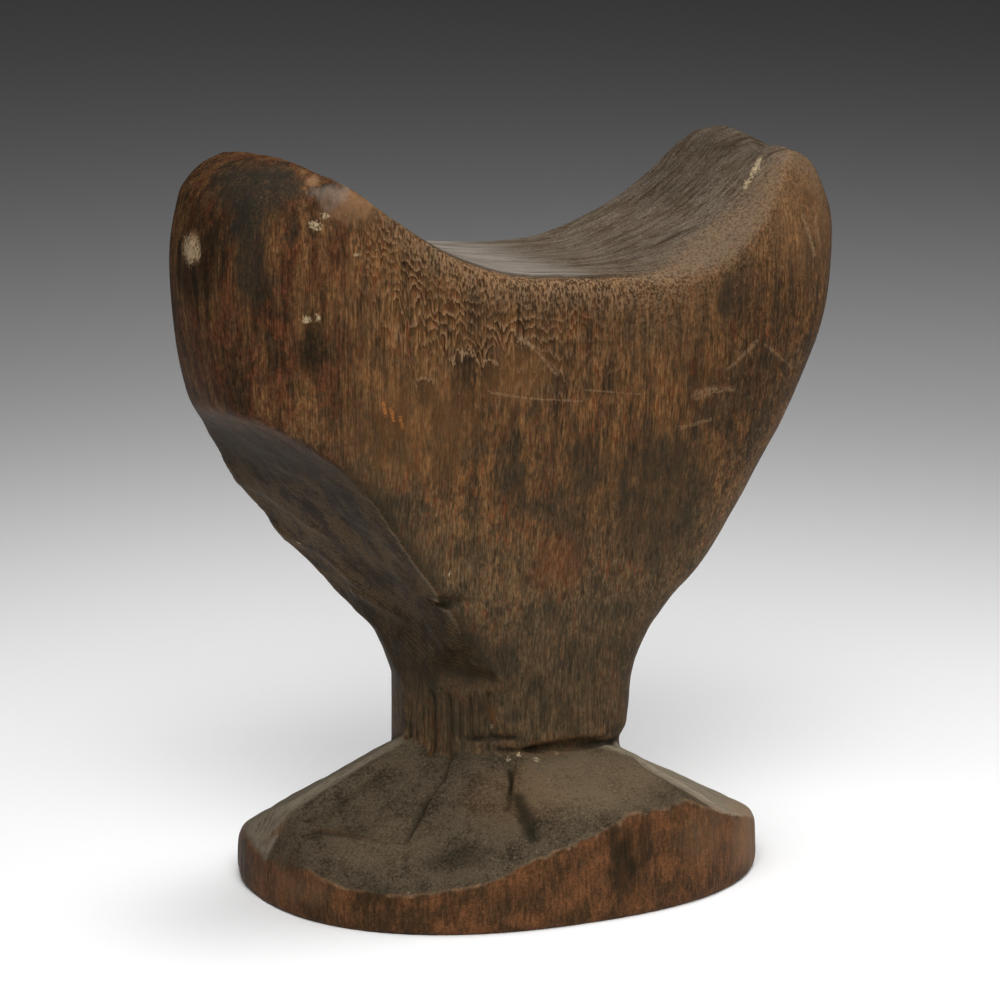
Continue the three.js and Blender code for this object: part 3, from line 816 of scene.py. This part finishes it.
    # The rim towards the right made paler: worn, and partly a painted highlight
    rim = paint.times(paint.value("rim"), paint.ease(grit, 0.3, 0.6, 0.4, 0.9))
    colour = paint.mix(colour, RIM, paint.times(rim, paint.ease(thread, 0.36, 0.6, 0.5, 1.0)))

    # Stains, pale places, painted sheen and painted shade, and broken scratches
    tint = paint.add("ShaderNodeAttribute", attribute_name="tint").outputs["Color"]
    cover = paint.times(paint.value("tinted"), paint.ease(grit, 0.3, 0.6, 0.75, 1.0))
    colour = paint.mix(colour, tint, cover)
    broken = paint.ease(grit, 0.4, 0.52)
    for start, end, half, hue, share in SCRATCHES:
        near = paint.ease(paint.from_line(at, start, end), half * 1.5, half * 0.5, 0.0, share)
        colour = paint.mix(colour, hue, paint.times(near, broken))

    # Wear on edges, dirt and painted shade in cuts and hollows, crust
    worn = paint.mix(ORANGE, WORN, paint.plus(foot_side, foot_top))
    rubbed = paint.times(paint.ease(proud, 0.26, 0.6), paint.ease(thread, 0.36, 0.6, 0.25, 0.65))
    colour = paint.mix(colour, worn, paint.times(rubbed, paint.ease(parts[2], 3, 7)))
    # Hollows and cut lines darkened: partly dirt, partly painted shade
    colour = paint.mix(colour, GRIME_AND_SHADE, paint.ease(proud, -0.12, -0.8, 0.0, 0.75))
    colour = paint.mix(colour, GRIME_AND_SHADE, paint.ease(paint.value("cut"), 0.25, 0.8, 0.0, 0.85))
    crumbs = paint.plus(paint.times(thread, 0.8), paint.times(grit, 1.0), paint.times(cloud, 0.8))
    flaky = paint.plus(paint.times(paint.value("crust"), 0.8), crumbs)
    colour = paint.mix(colour, CRUST, paint.ease(flaky, 1.84, 2.2, 0.0, 0.75))

    rough = paint.math("MULTIPLY_ADD", saddle, -0.1, 0.56)
    rough = paint.math("MULTIPLY_ADD", foot_top, 0.2, rough)
    rough = paint.math("MULTIPLY_ADD", paint.plus(grit, -0.5), 0.3, rough)

    lift = paint.blend(lines, grit, paint.plus(saddle, hewn, foot_top))
    bump = paint.add("ShaderNodeBump", {"Height": lift, "Strength": 0.7, "Distance": 0.25 * MM})
    surface = paint.add(
        "ShaderNodeBsdfPrincipled",
        {
            "Base Color": colour,
            "Roughness": rough,
            "Normal": bump.outputs[0],
            "Specular IOR Level": 0.05,
            "Specular Tint": PATINA,
        },
    )
    paint.add("ShaderNodeOutputMaterial", {"Surface": surface.outputs[0]})
    return paint.material


# Studio

# Where the photograph was taken from, how far the camera looks down and to the right, and its lens
CAMERA = {"at": (-438.6, -891.0, 310), "pitch": 12.5, "yaw": 26.03, "lens": 154.44}
SENSOR_WIDTH = 36

# The floor's side is in metres
FLOOR = rgb(251, 251, 251)
FLOOR_SIZE = 9.0

# Soft lights that face the middle of the headrest: place, side in metres, watts and spread in degrees
AIM = (0, 0, 90)
SOFTBOXES = {
    "top": ((150, 120, 1300), 0.5, 0.41, 35),
    "front": ((-250, -650, 800), 0.6, 1.25, 60),
    "left": ((-350, -250, 800), 0.5, 0.25, 60),
    "side": ((800, -650, 700), 1.4, 3.2, 130),
}
ROOM = rgb(235, 235, 235)
ROOM_LIGHT = 0.034


def plain(name, colour, rough):
    paint = Paint(name)
    surface = paint.add("ShaderNodeBsdfPrincipled", {"Base Color": colour, "Roughness": rough})
    paint.add("ShaderNodeOutputMaterial", {"Surface": surface.outputs[0]})
    return paint.material


def floor():
    half = FLOOR_SIZE / 2
    mesh = bpy.data.meshes.new("floor")
    corners = [(-half, -half, 0), (half, -half, 0), (half, half, 0), (-half, half, 0)]
    mesh.from_pydata(corners, [], [(0, 1, 2, 3)])
    ground = bpy.data.objects.new("floor", mesh)
    bpy.context.scene.collection.objects.link(ground)
    mesh.materials.append(plain("pale_floor", FLOOR, 0.9))


def softbox(name, at, size, power, angle):
    """A square area light"""
    data = bpy.data.lights.new(name, "AREA")
    data.shape = "SQUARE"
    data.size = size
    data.energy = power
    data.spread = math.radians(angle)
    light = bpy.data.objects.new(name, data)
    light.location = Vector(at) * MM
    light.rotation_euler = (Vector(AIM) - Vector(at)).to_track_quat("-Z", "Y").to_euler()
    bpy.context.scene.collection.objects.link(light)


def studio():
    floor()
    for name, settings in SOFTBOXES.items():
        softbox(name, *settings)
    world = bpy.data.worlds.new("studio")
    world.use_nodes = True
    background = world.node_tree.nodes["Background"]
    background.inputs[0].default_value = ROOM
    background.inputs[1].default_value = ROOM_LIGHT
    bpy.context.scene.world = world
    bpy.context.scene.view_settings.view_transform = "Standard"


def camera():
    data = bpy.data.cameras.new("camera")
    data.lens = CAMERA["lens"]
    data.sensor_width = SENSOR_WIDTH
    eye = bpy.data.objects.new("camera", data)
    eye.location = Vector(CAMERA["at"]) * MM
    eye.rotation_euler = (math.radians(90 - CAMERA["pitch"]), 0, -math.radians(CAMERA["yaw"]))
    bpy.context.scene.collection.objects.link(eye)
    bpy.context.scene.camera = eye


def headrest():
    piece = worn_skin(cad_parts[NODE])
    carve(piece)
    mark_zones(piece)
    piece.data.materials.clear()
    piece.data.materials.append(wood())
    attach(piece, "root")
    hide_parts(NODE)


headrest()
studio()
camera()
